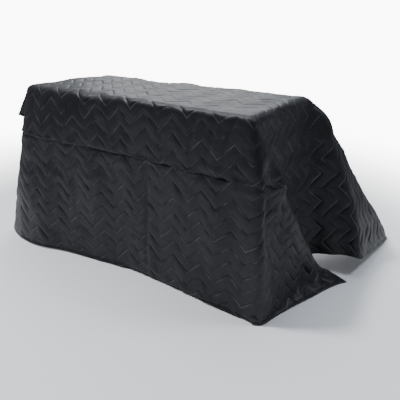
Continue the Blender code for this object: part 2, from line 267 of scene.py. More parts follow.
# %% Smooth reading of a table
def read_rows(rows, place):
    """Follow a smooth curve through the rows of a table, at each place."""
    table = np.array(rows)
    if table[0, 0] > table[-1, 0]:
        table = table[::-1]
    knots = table[:, 0]
    values = table[:, 1:]
    gaps = np.diff(knots)
    steps = np.diff(values, axis=0) / gaps[:, None]
    slopes = np.vstack([steps[:1], (steps[1:] + steps[:-1]) / 2, steps[-1:]])
    place = np.clip(place, knots[0], knots[-1])
    row = np.clip(np.searchsorted(knots, place) - 1, 0, len(gaps) - 1)
    gap = gaps[row][:, None]
    t = ((place - knots[row]) / gaps[row])[:, None]
    start_weight = 2 * t**3 - 3 * t**2 + 1
    end_weight = 3 * t**2 - 2 * t**3
    start_slope = (t**3 - 2 * t**2 + t) * gap
    end_slope = (t**3 - t**2) * gap
    return (start_weight * values[row] + end_weight * values[row + 1]
            + start_slope * slopes[row] + end_slope * slopes[row + 1])


print("front lean at its middle:", read_rows(FRONT_SIDE, np.array([0.0]))[0].round(4))

# %% Straight rays from the edges of the top
def lay_out(start, ray, reach, full):
    """Follow straight rays down, and bend what is spare outwards at the floor.

    full is the length of each ray up to the hem. The more cloth is spare
    there, the softer is the bend.
    """
    hanging = DROP / -ray[:, 2]
    bend = np.clip(full - hanging, 0.0, FLOOR_BEND)
    leave = start + ray * (hanging - bend)[:, None]
    foot = start + ray * hanging[:, None]
    inside = np.clip(foot[:, :2], (-HALF_LENGTH, -HALF_WIDTH), (HALF_LENGTH, HALF_WIDTH))
    away = np.zeros_like(foot)
    away[:, :2] = foot[:, :2] - inside
    away /= np.maximum(np.linalg.norm(away, axis=1), 1e-6)[:, None]
    t = np.clip((reach - hanging + bend) / np.maximum(2 * bend, 1e-9), 0.0, 1.0)[:, None]
    past = np.maximum(reach - hanging - bend, 0.0)[:, None]
    bent = ((1 - t)**2 * leave + 2 * t * (1 - t) * foot
            + t**2 * (foot + away * bend[:, None]) + away * past)
    return np.where(t > 0, bent, start + ray * reach[:, None])


def hang(u, v):
    """Place flat cloth points in the room, with sharp edges at the top."""
    over_u = u - np.clip(u, -HALF_LENGTH, HALF_LENGTH)
    over_v = v - np.clip(v, -HALF_WIDTH, HALF_WIDTH)
    reach = np.hypot(over_u, over_v)
    start = np.stack([u - over_u, v - over_v, np.zeros_like(u)], axis=1)
    move = np.zeros((len(u), 2))
    angle = np.degrees(np.arctan2(over_v, over_u))
    sides = (
        (FRONT_SIDE, (over_u == 0) & (over_v < 0), u),
        (RIGHT_SIDE, (over_u > 0) & (over_v == 0), v),
        (BACK_SIDE, (over_u == 0) & (over_v > 0), u),
        (LEFT_SIDE, (over_u < 0) & (over_v == 0), v),
        (FRONT_RIGHT_FOLD, (over_u > 0) & (over_v < 0), angle + 90.0),
        (RIGHT_BACK_FOLD, (over_u > 0) & (over_v > 0), angle),
        (BACK_LEFT_FOLD, (over_u < 0) & (over_v > 0), angle - 90.0),
        (LEFT_FRONT_FOLD, (over_u < 0) & (over_v < 0), angle + 180.0),
    )
    for rows, here, place in sides:
        if here.any():
            move[here] = read_rows(rows, place[here])
    ray = np.column_stack([move, -np.ones(len(u))])
    ray /= np.linalg.norm(ray, axis=1)[:, None]
    side_hang = np.where(over_u > 0, RIGHT_HANG, LEFT_HANG) / np.maximum(np.abs(over_u), 1e-6)
    end_hang = np.where(over_v > 0, BACK_HANG, FRONT_HANG) / np.maximum(np.abs(over_v), 1e-6)
    points = lay_out(start, ray, reach, reach * np.minimum(side_hang, end_hang))
    bellies = (
        (FRONT_RIGHT_BELLY, (over_u > 0) & (over_v < 0), angle + 90.0, NEAR_SWAY),
        (RIGHT_BACK_BELLY, (over_u > 0) & (over_v > 0), angle, FAR_SWAY),
    )
    for rows, here, place, (gain, late, early) in bellies:
        if here.any():
            fallen = np.clip(-points[here, 2] / DROP, 0.0, 1.0)[:, None]
            sway = gain * fallen**late * (1 - fallen) ** early
            points[here, :2] += read_rows(rows, place[here]) * sway
    return points


print("front hem, middle:", hang(np.array([0.0]), np.array([FRONT]))[0].round(3))

# %% [markdown]
# Cloth with padding can't turn a sharp corner. Averaging each point with its
# neighbours inside a small disc rounds every edge and fold by about the same
# radius, as the padding does.

# %% The underside of the hung cloth
DISC_RINGS = ((0.5, 6), (1.0, 12))  # part of the radius, points on the ring
PROBE_STEP = 0.007


def drape(u, v):
    """Average hang() over a small disc and add the soft rises."""
    total = hang(u, v)
    count = 1
    for ring, spokes in DISC_RINGS:
        for spoke in range(spokes):
            turn = 2 * np.pi * spoke / spokes
            shift_u = SOFT_RADIUS * ring * np.cos(turn)
            shift_v = SOFT_RADIUS * ring * np.sin(turn)
            total += hang(u + shift_u, v + shift_v)
            count += 1
    points = total / count
    for mid_u, mid_v, wide_u, wide_v, *push in SWELLS:
        far = np.minimum(np.hypot((u - mid_u) / wide_u, (v - mid_v) / wide_v), 1.0)
        rise = (np.cos(np.pi * far) + 1) / 2
        points += rise[:, None] * np.array(push)
    points[:, 2] = np.maximum(points[:, 2], -DROP)
    return points


def outward(u, v):
    """Directions out of the draped cloth, from small steps on it."""
    along = drape(u + PROBE_STEP, v) - drape(u - PROBE_STEP, v)
    across = drape(u, v + PROBE_STEP) - drape(u, v - PROBE_STEP)
    normals = np.cross(along, across)
    return normals / np.maximum(np.linalg.norm(normals, axis=1), 1e-12)[:, None]


middle_of_front = (np.array([0.0]), np.array([-0.9]))
print("the front faces", outward(*middle_of_front)[0].round(2))

# %% [markdown]
# Sewn cloth is never quite even. The unevenness is read from a grid of seeded
# random numbers, so that it is the same on each run. The grid repeats where
# the cloth is larger than it.

# %% Soft random heights
GRID = 96


def crumple(u, v, size, seed):
    """Smooth random heights between -1 and 1, with lumps of the given size."""
    heights = np.random.default_rng(seed).uniform(-1, 1, (GRID, GRID))
    column = (u - LEFT) / size
    row = (v - FRONT) / size
    i = np.floor(column).astype(int)
    j = np.floor(row).astype(int)
    a = column - i
    b = row - j
    a = a * a * (3 - 2 * a)
    b = b * b * (3 - 2 * b)
    i0, i1, j0, j1 = i % GRID, (i + 1) % GRID, j % GRID, (j + 1) % GRID
    low = heights[i0, j0] * (1 - a) + heights[i1, j0] * a
    high = heights[i0, j1] * (1 - a) + heights[i1, j1] * a
    return low * (1 - b) + high * b


sample_height = crumple(np.array([0.1]), np.array([0.2]), 0.05, 1)
print("a random height:", sample_height.round(3))

# %% [markdown]
# ## The quilting
# Zigzag lines of stitches hold the padding. The cloth is thin on a stitch
# line and swells up beside it, like a row of small pillows. How thick it is
# depends mostly on how far a point lies from the nearest stitch line. No two
# pillows are filled alike, and the seam, the hems and the squeezed corners
# press them flatter.

# %% Zigzag lines
SLANT = ZIGZAG_STEP / np.hypot(ZIGZAG_STEP, ZIGZAG_HEIGHT)
WANDERS = (
    # size, reach, seed
    (0.110, 0.0065, 31),
    (0.045, 0.0030, 37),
)


def zigzag(u):
    """How far a stitch line stands to the back of its row at u."""
    step = (u - ZIGZAG_START) / ZIGZAG_STEP
    wave = np.abs((step % 2) - 1)
    return ZIGZAG_RAISE + ZIGZAG_HEIGHT * (wave - 0.5)


def wander(u, row):
    """How far the stitches of a row have strayed from their zigzag."""
    return sum(reach * crumple(u, row, size, seed) for size, reach, seed in WANDERS)


def straightened(u, v):
    """The row on which a flat point lies, with zigzag and wander taken out."""
    plain = v - zigzag(u)
    return plain - wander(u, plain - wander(u, plain))


def from_stitch(u, v):
    """Distance to the nearest stitch line, square to it."""
    phase = straightened(u, v) / STITCH_PITCH
    return np.abs(phase - np.round(phase)) * STITCH_PITCH * SLANT


print("a stitch line at u = 0 and at the next turn:",
      zigzag(np.array([0.0, ZIGZAG_STEP])).round(3))

# %% Pillow shape
THICKNESS_AT_STITCH = 0.0038
THICKNESS_BETWEEN = 0.0100
THICKNESS_AT_HEM = 0.0046
PILLOW_SHOULDER = 0.0075
PILLOW_FILL = 0.85
PILLOW_FILL_VARIES = 0.40
PILLOW_FILL_SIZE = 0.070
CORNER_REACH = 0.45
CORNER_LEAST = 0.25
HEM_SLOPE = 0.02
HEM_STARTS = 0.001
HEM_GROOVE_DEPTH = 0.0022
HEM_GROOVE_WIDTH = 0.004
SEAM_PINCH = 0.45
SEAM_PINCH_VARIES = 0.40
SEAM_PINCH_SIZE = 0.120
SEAM_PINCH_WIDTH = 0.006


def near_line(distance, width):
    """1 on a line, fading to 0 within a few widths."""
    return np.exp(-(distance / width) ** 2)


def thickness(u, v):
    """Thickness of the quilt at each flat point."""
    pillow = 1 - np.exp(-from_stitch(u, v) / PILLOW_SHOULDER)
    pillow *= PILLOW_FILL + PILLOW_FILL_VARIES * crumple(u, v, PILLOW_FILL_SIZE, 23)
    corner = np.hypot(np.abs(u) - HALF_LENGTH, np.abs(v) - HALF_WIDTH)
    pillow *= np.clip(corner / CORNER_REACH, CORNER_LEAST, 1.0)
    to_hem = np.minimum.reduce([u - LEFT, RIGHT - u, v - FRONT, BACK - v]) - HEM_WIDTH
    pillow *= np.clip(to_hem / HEM_SLOPE, 0.0, 1.0) ** 0.5
    pinch = SEAM_PINCH + SEAM_PINCH_VARIES * crumple(u, v, SEAM_PINCH_SIZE, 41)
    pillow *= 1 - near_line(v - SEAM, SEAM_PINCH_WIDTH) * pinch
    full = THICKNESS_AT_STITCH + (THICKNESS_BETWEEN - THICKNESS_AT_STITCH) * pillow
    hem = THICKNESS_AT_HEM - HEM_GROOVE_DEPTH * near_line(to_hem, HEM_GROOVE_WIDTH)
    return np.where(to_hem > HEM_STARTS, full, hem)


print("thickness of one pillow:", thickness(np.array([0.0]), np.array([0.05])).round(4))

# %% [markdown]
# ## Creases
# Used blankets are never smooth. A soft crumpling in three sizes comes first,
# then a short list of creases that the photograph shows, each a straight line
# on the flat cloth, and then the puckers where the cloth is gathered.

# %% Sizes of the crumpling
LUMPS = (
    # size, height, seed
    (0.230, 0.0045, 3),
    (0.095, 0.0034, 5),
    (0.043, 0.0020, 8),
)
print("lumps:", [size for size, height, seed in LUMPS])

# %% Creases seen in the photograph
CREASES = (
    # u and v of one end, u and v of the other end, half width, height
    (0.185, -0.890, 0.165, -1.500, 0.011, -0.0060),
    (-0.060, -1.250, 0.120, -1.300, 0.013, 0.0055),
    (0.020, -1.330, 0.190, -1.370, 0.013, 0.0060),
    (0.100, -1.420, 0.290, -1.440, 0.013, 0.0060),
    (0.130, -1.500, 0.330, -1.560, 0.014, 0.0060),
    (0.640, -0.700, 0.800, -0.730, 0.012, 0.0060),
    (0.700, -0.790, 0.930, -0.800, 0.012, 0.0060),
    (0.780, -0.690, 0.890, -0.640, 0.012, 0.0050),
    (0.280, -1.590, 1.020, -1.575, 0.018, 0.0060),
    (0.905, -0.100, 0.960, 0.360, 0.013, -0.0060),
    (-0.560, -0.160, -0.340, -0.360, 0.050, 0.0080),
    (1.237, -0.847, 1.281, -1.063, 0.016, -0.0060),
    (1.180, -0.900, 1.300, -0.930, 0.012, 0.0060),
    (1.240, -1.010, 1.370, -1.060, 0.012, 0.0060),
    (1.369, -1.067, 1.497, -1.279, 0.018, -0.0040),
    (1.400, -1.230, 1.560, -1.200, 0.014, 0.0070),
    (1.497, -1.279, 1.721, -1.439, 0.018, -0.0060),
    (1.050, 0.190, 1.150, 0.010, 0.011, 0.0050),
    (1.230, 0.360, 1.380, 0.120, 0.011, 0.0050),
    (0.560, -0.430, 0.520, -0.600, 0.014, -0.0050),
    (0.680, -0.430, 0.640, -0.660, 0.014, -0.0060),
    (0.790, -0.430, 0.730, -0.620, 0.014, -0.0060),
    (1.020, -0.700, 1.290, -1.380, 0.030, -0.0080),
)
CREASE_ENDS = 0.6  # below 1, a crease runs out softly past its two ends


def crease_height(u, v):
    """Add up the creases: each is a soft ridge or groove along a line."""
    total = np.zeros_like(u)
    for u0, v0, u1, v1, half_width, height in CREASES:
        run = np.array([u1 - u0, v1 - v0])
        length = np.hypot(*run)
        run /= length
        along = (u - u0) * run[0] + (v - v0) * run[1]
        beside = (u - u0) * run[1] - (v - v0) * run[0]
        past = np.maximum(np.maximum(-along, along - length), 0.0)
        total += height * near_line(np.hypot(beside, past * CREASE_ENDS), half_width)
    return total


print("creases:", len(CREASES))

# %% Puckers beside the seam and the hems
PUCKER_SIZE = 0.034
PUCKER_STRETCH = 0.30
PUCKER_HEIGHT = 0.0042
PUCKER_REACH = 0.045
SEAM_WAVE_SIZE = 0.016
SEAM_WAVE_STRETCH = 0.25
SEAM_WAVE_HEIGHT = 0.0075
SEAM_WAVE_REACH = 0.036


def pucker_height(u, v):
    """Long waves beside the seam, and short ones square to each long hem."""
    waves = crumple(LEFT + (u - LEFT) * SEAM_WAVE_STRETCH, v, SEAM_WAVE_SIZE, 13)
    total = SEAM_WAVE_HEIGHT * waves * near_line(v - SEAM, SEAM_WAVE_REACH)
    for line, seed in ((FRONT + HEM_WIDTH, 17), (BACK - HEM_WIDTH, 19)):
        waves = crumple(u, FRONT + (v - FRONT) * PUCKER_STRETCH, PUCKER_SIZE, seed)
        total += PUCKER_HEIGHT * waves * near_line(v - line, PUCKER_REACH)
    return total


print("a pucker on the seam:", pucker_height(np.array([0.5]), np.array([SEAM])).round(4))

# %% [markdown]
# All of it is added up. The flat top lies more smoothly than the sides, and it
# can't sink far, because it rests on something.

# %% Creases, puckers and crumpling together
SHARE_ON_TOP = 0.7
DEEPEST_ON_TOP = -0.002


def unevenness(u, v):
    """All creases and crumpling together, along the outward direction."""
    total = crease_height(u, v) + pucker_height(u, v)
    for size, height, seed in LUMPS:
        total += height * crumple(u, v, size, seed)
    on_top = (np.abs(u) < HALF_LENGTH) & (np.abs(v) < HALF_WIDTH)
    return np.where(on_top, np.maximum(total * SHARE_ON_TOP, DEEPEST_ON_TOP), total)


print("unevenness mid front:", unevenness(*middle_of_front).round(4))

# %% [markdown]
# ## The sheets
# Each sewn width becomes one closed sheet: an outer skin, an inner skin and a
# rim. Its rows of points follow the zigzag lines, so that every groove stays
# crisp with few faces. Rows that would leave the panel are held at its edge,
# and the faces that this squashes flat are dropped.

# %% Points of a panel on the flat cloth
ROW_OFFSETS = (0.0, 0.004, 0.011, 0.022, 0.036, 0.050, 0.064, 0.078, 0.089, 0.096)
COLUMNS_PER_STEP = 7
CLEAR_OF_HEM = 0.2  # as a part of the spacing, so that no sliver is made


def panel_columns():
    """Places along u, with every turn of the zigzag and both side hems."""
    spacing = ZIGZAG_STEP / COLUMNS_PER_STEP
    first = int(np.ceil((LEFT + HEM_WIDTH - ZIGZAG_START) / spacing + CLEAR_OF_HEM))
    last = int(np.floor((RIGHT - HEM_WIDTH - ZIGZAG_START) / spacing - CLEAR_OF_HEM))
    inner = ZIGZAG_START + spacing * np.arange(first, last + 1)
    hem = np.array([0.0, 0.5, 1.0]) * HEM_WIDTH
    return np.concatenate([LEFT + hem, inner, RIGHT - hem[::-1]])


def stitch_lines(front, back):
    """Numbers of the zigzag lines that can reach a panel, with one to spare."""
    first = int(np.floor(front / STITCH_PITCH)) - 1
    last = int(np.ceil(back / STITCH_PITCH)) + 1
    return range(first, last + 1)


def panel_rows(columns, front, back, front_hem, back_hem):
    """v of every row at every column, lowest row first."""
    quilt_front = front + front_hem
    quilt_back = back - back_hem
    quilt_u = np.clip(columns, LEFT + HEM_WIDTH, RIGHT - HEM_WIDTH)
    rows = []
    if front_hem:
        rows += [np.full_like(columns, front + front_hem * part) for part in (0.0, 0.5)]
    for line in stitch_lines(front, back):
        for offset in ROW_OFFSETS:
            row = np.full_like(quilt_u, line * STITCH_PITCH + offset)
            v = row + zigzag(quilt_u) + wander(quilt_u, row)
            rows.append(np.clip(v, quilt_front, quilt_back))
    if back_hem:
        rows += [np.full_like(columns, back - back_hem * part) for part in (0.5, 0.0)]
    return np.array(rows)


columns = panel_columns()
quilt_columns = columns[2:-2]  # from side hem to side hem
main_rows = panel_rows(columns, SEAM + SEAM_GAP / 2, BACK, 0.0, HEM_WIDTH)
front_rows = panel_rows(columns, FRONT, SEAM - SEAM_GAP / 2, HEM_WIDTH, 0.0)
print("columns:", len(columns), "rows:", len(main_rows), "and", len(front_rows))

# %% Faces of a panel
SAME_PLACE = 1e-5


def sew_grid(columns, rows):
    """Turn rows and columns into flat points and faces without squashed ones."""
    fresh = np.ones(rows.shape, dtype=bool)
    fresh[1:] = np.diff(rows, axis=0) > SAME_PLACE
    number = np.cumsum(fresh.T.ravel()).reshape(rows.T.shape).T - 1
    keep = fresh.T.ravel()
    v = rows.T.ravel()[keep]
    u = np.repeat(columns, len(rows))[keep]
    a, b = number[:-1, :-1].ravel(), number[:-1, 1:].ravel()
    c, d = number[1:, 1:].ravel(), number[1:, :-1].ravel()
    faces = []
    for quad in zip(a.tolist(), b.tolist(), c.tolist(), d.tolist()):
        corners = list(dict.fromkeys(quad))
        if len(corners) > 2:
            faces.append(corners)
    return u, v, faces


main_grid = sew_grid(columns, main_rows)
front_grid = sew_grid(columns, front_rows)
print("faces of one skin:", len(main_grid[2]), "and", len(front_grid[2]))

# %% From a flat grid to a closed sheet
def rim_edges(faces):
    """Edges with a face on one side only, in the direction of that face."""
    used = set()
    for face in faces:
        used.update(zip(face, face[1:] + face[:1]))
    return [(a, b) for a, b in used if (b, a) not in used]


def sheet_mesh(name, u, v, faces):
    """Build the closed sheet, with its flat address and its rows as UV maps."""
    under = drape(u, v)
    out = outward(u, v)
    uneven = unevenness(u, v)[:, None]
    inner = under + out * uneven
    outer = inner + out * thickness(u, v)[:, None]
    lift = np.maximum(-DROP - np.minimum(inner[:, 2], outer[:, 2]), 0.0)
    inner[:, 2] += lift
    outer[:, 2] += lift
    count = len(u)
    polygons = list(faces)
    polygons += [[corner + count for corner in reversed(face)] for face in faces]
    polygons += [[b, a, a + count, b + count] for a, b in rim_edges(faces)]
    mesh = bpy.data.meshes.new(name)
    mesh.from_pydata(np.vstack([outer, inner]).tolist(), [], polygons)
    mesh.update()
    corner_points = np.zeros(len(mesh.loops), dtype=int)
    mesh.loops.foreach_get("vertex_index", corner_points)
    for layer_name, height in (("cut", v), ("rows", straightened(u, v))):
        flat = np.tile(np.column_stack([u, height]), (2, 1)).astype(np.float32)
        layer = mesh.uv_layers.new(name=layer_name)
        layer.uv.foreach_set("vector", flat[corner_points].ravel())
    mesh.shade_smooth()
    return mesh


print("edges of the front panel's rim:", len(rim_edges(front_grid[2])))

# %% Make both widths
def add_object(name, data):
    """Put a mesh, a light or a camera in the scene as an object."""
    new_object = bpy.data.objects.new(name, data)
    bpy.context.scene.collection.objects.link(new_object)
    return new_object


def print_triangles(piece):
    """Say how many triangles a piece has."""
    piece.data.calc_loop_triangles()
    print(piece.name, len(piece.data.loop_triangles), "triangles")


main_cloth = add_object("main_panel_cloth", sheet_mesh("main_panel_cloth", *main_grid))
front_cloth = add_object("front_panel_cloth", sheet_mesh("front_panel_cloth", *front_grid))
print_triangles(main_cloth)
print_triangles(front_cloth)

# %% [markdown]
# ## Stitches
# The thread is a row of short, fat dashes on every zigzag line and along the
# hem. Thousands of equal dashes are a job for Geometry Nodes: a bare line
# goes in, is cut into steps of one stitch, and gets a dash at each step.

# %% Lines of stitches on the cloth
STITCH_STEP = 0.0085
STITCH_LENGTH = 0.0062
STITCH_WIDTH = 0.0011
CLEAR_OF_SEAM = 0.004
SIDE_HEM_STEP = 0.02


def skin(u, v):
    """Points on the outer skin of the finished cloth."""
    out = outward(u, v)
    points = drape(u, v) + out * (unevenness(u, v) + thickness(u, v))[:, None]
    points[:, 2] = np.maximum(points[:, 2], -DROP)
    return points


def stitch_paths(front, back):
    """Flat addresses along every zigzag line between front and back."""
    paths = []
    for line in stitch_lines(front, back):
        row = np.full_like(quilt_columns, line * STITCH_PITCH)
        v = row + zigzag(quilt_columns) + wander(quilt_columns, row)
        inside = (v > front) & (v < back)
        cuts = np.flatnonzero(np.diff(inside.astype(int))) + 1
        for run in np.split(np.arange(len(v)), cuts):
            if inside[run[0]] and len(run) > 1:
                paths.append(np.column_stack([quilt_columns[run], v[run]]))
    return paths


def hem_paths(front, back, front_hem, back_hem):
    """Flat addresses along the hem stitching of a panel."""
    low = front + front_hem
    high = back - back_hem
    upright = np.arange(low, high, SIDE_HEM_STEP)
    paths = []
    for u in (LEFT + HEM_WIDTH, RIGHT - HEM_WIDTH):
        paths.append(np.column_stack([np.full_like(upright, u), upright]))
    for v, hem in ((low, front_hem), (high, back_hem)):
        if hem:
            paths.append(np.column_stack([quilt_columns, np.full_like(quilt_columns, v)]))
    return paths


def path_mesh(name, paths):
    """One mesh of bare edges that lies on the outer skin."""
    flat = np.vstack(paths)
    points = skin(flat[:, 0], flat[:, 1])
    edges = []
    start = 0
    for path in paths:
        edges += [(k, k + 1) for k in range(start, start + len(path) - 1)]
        start += len(path)
    mesh = bpy.data.meshes.new(name)
    mesh.from_pydata(points.tolist(), edges, [])
    return mesh


main_paths = stitch_paths(SEAM + CLEAR_OF_SEAM, BACK - HEM_WIDTH)
main_paths += hem_paths(SEAM + SEAM_GAP / 2, BACK, 0.0, HEM_WIDTH)
front_paths = stitch_paths(FRONT + HEM_WIDTH, SEAM - CLEAR_OF_SEAM)
front_paths += hem_paths(FRONT, SEAM - SEAM_GAP / 2, HEM_WIDTH, 0.0)
print("stitch lines:", len(main_paths), "and", len(front_paths))

# %% The stitching tree
def socket(tree, name, direction, kind, value=None):
    """Add a named input or output to a node group."""
    item = tree.interface.new_socket(name=name, in_out=direction, socket_type=kind)
    if value is not None:
        item.default_value = value


def build_stitching_tree():
    """Geometry Nodes: bare edges in, rows of thread dashes out."""
    tree = bpy.data.node_groups.new("rows_of_stitches", "GeometryNodeTree")
    socket(tree, "Geometry", "INPUT", "NodeSocketGeometry")
    socket(tree, "Step", "INPUT", "NodeSocketFloat", STITCH_STEP)
    socket(tree, "Dash Length", "INPUT", "NodeSocketFloat", STITCH_LENGTH)
    socket(tree, "Thread Width", "INPUT", "NodeSocketFloat", STITCH_WIDTH)
    socket(tree, "Thread", "INPUT", "NodeSocketMaterial")
    socket(tree, "Geometry", "OUTPUT", "NodeSocketGeometry")
    nodes = tree.nodes
    link = tree.links.new
    enter = nodes.new("NodeGroupInput")
    leave = nodes.new("NodeGroupOutput")
    to_curve = nodes.new("GeometryNodeMeshToCurve")
    resample = nodes.new("GeometryNodeResampleCurve")
    resample.mode = "LENGTH"
    tangent = nodes.new("GeometryNodeInputTangent")
    turn = nodes.new("FunctionNodeAlignRotationToVector")
    turn.axis = "Z"
    dash = nodes.new("GeometryNodeMeshCylinder")
    dash.fill_type = "TRIANGLE_FAN"
    dash.inputs["Vertices"].default_value = 3
    half = nodes.new("ShaderNodeMath")
    half.operation = "MULTIPLY"
    half.inputs[1].default_value = 0.5
    place = nodes.new("GeometryNodeInstanceOnPoints")
    realize = nodes.new("GeometryNodeRealizeInstances")
    paint = nodes.new("GeometryNodeSetMaterial")
    link(enter.outputs["Geometry"], to_curve.inputs["Mesh"])
    link(to_curve.outputs["Curve"], resample.inputs["Curve"])
    link(enter.outputs["Step"], resample.inputs["Length"])
    link(resample.outputs["Curve"], place.inputs["Points"])
    link(tangent.outputs["Tangent"], turn.inputs["Vector"])
    link(turn.outputs["Rotation"], place.inputs["Rotation"])
    link(enter.outputs["Thread Width"], half.inputs[0])
    link(half.outputs["Value"], dash.inputs["Radius"])
    link(enter.outputs["Dash Length"], dash.inputs["Depth"])
    link(dash.outputs["Mesh"], place.inputs["Instance"])
    link(place.outputs["Instances"], realize.inputs["Geometry"])
    link(realize.outputs["Geometry"], paint.inputs["Geometry"])
    link(enter.outputs["Thread"], paint.inputs["Material"])
    link(paint.outputs["Geometry"], leave.inputs["Geometry"])
    return tree


stitching_tree = build_stitching_tree()
print("tree inputs:", [item.name for item in stitching_tree.interface.items_tree])

# %% [markdown]
# ## Nylon and thread
# The shell is a charcoal woven nylon with a soft sheen. Close to a stitch
# line the cloth gathers in tiny puckers that are too fine for the mesh. Along
# the line itself a dark painted shade stands for the groove, and the raised
# edge below it gets a paler painted highlight, where light from above would
# catch it. All of it is worked out in the shader from the rows of the sheet,
# so it always sits on the stitches.

# %% Helpers that place one node each
def feed(tree, value, entry):
    """Link value to a node's input if it is a socket, and otherwise set it."""
    if isinstance(value, bpy.types.NodeSocket):
        tree.links.new(value, entry)
    else:
        entry.default_value = value


def maths(tree, operation, *values):
    """Work out one sum from numbers and sockets."""
    node = tree.nodes.new("ShaderNodeMath")
    node.operation = operation
    for index, value in enumerate(values):
        feed(tree, value, node.inputs[index])
    return node.outputs["Value"]


def noise(tree, vector, scale, detail=2.0, roughness=0.5):
    """Soft random values between 0 and 1."""
    node = tree.nodes.new("ShaderNodeTexNoise")
    node.inputs["Scale"].default_value = scale
    node.inputs["Detail"].default_value = detail
    node.inputs["Roughness"].default_value = roughness
    feed(tree, vector, node.inputs["Vector"])
    return node.outputs["Fac"]


def spread(tree, value, source=(0.0, 1.0), target=(0.0, 1.0), kind="LINEAR"):
    """Stretch the range of values in source to the one in target."""
    node = tree.nodes.new("ShaderNodeMapRange")
    node.interpolation_type = kind
    names = ("From Min", "From Max", "To Min", "To Max")
    for name, limit in zip(names, (*source, *target)):
        node.inputs[name].default_value = limit
    feed(tree, value, node.inputs["Value"])
    return node.outputs["Result"]


def blend(tree, share, first, second):
    """Mix two colours, each fixed or from a socket."""
    node = tree.nodes.new("ShaderNodeMix")
    node.data_type = "RGBA"
    feed(tree, share, node.inputs["Factor"])
    feed(tree, first, node.inputs["A"])
    feed(tree, second, node.inputs["B"])
    return node.outputs["Result"]


print("helpers:", [helper.__name__ for helper in (feed, maths, noise, spread, blend)])

# %% A node group that knows the zigzag
PUCKERS_ALONG = 62.0
PUCKERS_ACROSS = 13.0
CLOTH_SCALE = 28.0
CLOTH_RELIEF = 0.0030
# how fast the painted shade along a stitch line fades beside it
GROOVE_SHADE_SHARPNESS = -320.0
# where the painted highlight lies below each stitch line, and how it varies
HIGHLIGHT_BELOW_LINE = 0.0050
HIGHLIGHT_WIDTH = 0.0036
HIGHLIGHT_PATCH_SCALE = 11.0
HIGHLIGHT_PATCHES = (0.40, 0.62)


def build_quilting_group():
    """Distance from the stitch line, the fine relief beside it, and masks for painted shade
    on the line and a painted highlight below it.
    """
    group = bpy.data.node_groups.new("zigzag_quilting", "ShaderNodeTree")
    socket(group, "Cut", "INPUT", "NodeSocketVector")
    socket(group, "Rows", "INPUT", "NodeSocketVector")
    socket(group, "Pucker Depth", "INPUT", "NodeSocketFloat", 0.0022)
    socket(group, "Pucker Reach", "INPUT", "NodeSocketFloat", 0.018)
    socket(group, "Height", "OUTPUT", "NodeSocketFloat")
    # mask of the painted shade along each stitch line
    socket(group, "Groove Shade", "OUTPUT", "NodeSocketFloat")
    # mask of the painted highlight below each stitch line
    socket(group, "Painted Highlight", "OUTPUT", "NodeSocketFloat")
    enter = group.nodes.new("NodeGroupInput")
    leave = group.nodes.new("NodeGroupOutput")
    cut = enter.outputs["Cut"]
    split = group.nodes.new("ShaderNodeSeparateXYZ")
    feed(group, enter.outputs["Rows"], split.inputs["Vector"])
    u = split.outputs["X"]
    across = split.outputs["Y"]

    # how far the nearest stitch line is, below 0 on its lower side
    phase = maths(group, "DIVIDE", across, STITCH_PITCH)
    off = maths(group, "SUBTRACT", phase, maths(group, "ROUND", phase))
    signed = maths(group, "MULTIPLY", off, STITCH_PITCH * SLANT)
    distance = maths(group, "ABSOLUTE", signed)

    # puckers that are narrow along the line and fade out beside it
    squeeze = group.nodes.new("ShaderNodeCombineXYZ")
    feed(group, maths(group, "MULTIPLY", u, PUCKERS_ALONG), squeeze.inputs["X"])
    feed(group, maths(group, "MULTIPLY", across, PUCKERS_ACROSS), squeeze.inputs["Y"])
    pucker = maths(group, "SUBTRACT", noise(group, squeeze.outputs["Vector"], 1.0), 0.5)
    nearness = maths(group, "MULTIPLY", distance, -1.0)
    nearness = maths(group, "DIVIDE", nearness, enter.outputs["Pucker Reach"])
    deep = maths(group, "MULTIPLY", pucker, maths(group, "EXPONENT", nearness))
    deep = maths(group, "MULTIPLY", deep, enter.outputs["Pucker Depth"])
    soft = maths(group, "SUBTRACT", noise(group, cut, CLOTH_SCALE, detail=3.0), 0.5)
    soft = maths(group, "MULTIPLY", soft, CLOTH_RELIEF)
    feed(group, maths(group, "ADD", deep, soft), leave.inputs["Height"])

    # a dark line of painted shade along the stitch groove
    groove_shade = maths(group, "EXPONENT", maths(group, "MULTIPLY", distance, GROOVE_SHADE_SHARPNESS))
    feed(group, groove_shade, leave.inputs["Groove Shade"])

    # a painted highlight just below the line, paler in some places than in others, where
    # light from above would catch the raised edge
    beside = maths(group, "ADD", signed, HIGHLIGHT_BELOW_LINE)
    beside = maths(group, "DIVIDE", beside, HIGHLIGHT_WIDTH)
    highlight_band = maths(group, "MULTIPLY", maths(group, "MULTIPLY", beside, beside), -1.0)
    highlight_band = maths(group, "EXPONENT", highlight_band)
    highlight_patches = spread(group, noise(group, cut, HIGHLIGHT_PATCH_SCALE), source=HIGHLIGHT_PATCHES)
    feed(group, maths(group, "MULTIPLY", highlight_band, highlight_patches), leave.inputs["Painted Highlight"])
    return group


quilting_group = build_quilting_group()
print("shader group:", quilting_group.name)

# %% Charcoal nylon
DEEP_CHARCOAL = (0.0072, 0.0072, 0.0096, 1.0)
DUSTY_CHARCOAL = (0.0125, 0.0127, 0.0162, 1.0)
# paler colour of the painted highlight below each stitch line
PAINTED_HIGHLIGHT_CHARCOAL = (0.0850, 0.0860, 0.0980, 1.0)
# near-black colour of the painted shade along each stitch groove
PAINTED_GROOVE_SHADE = (0.0020, 0.0020, 0.0025, 1.0)
DUST_SCALE = 4.5
GLOSS_RANGE = (0.40, 0.56)
WEAVE_SCALE = 160.0
WEAVE_HEIGHT = 0.00006


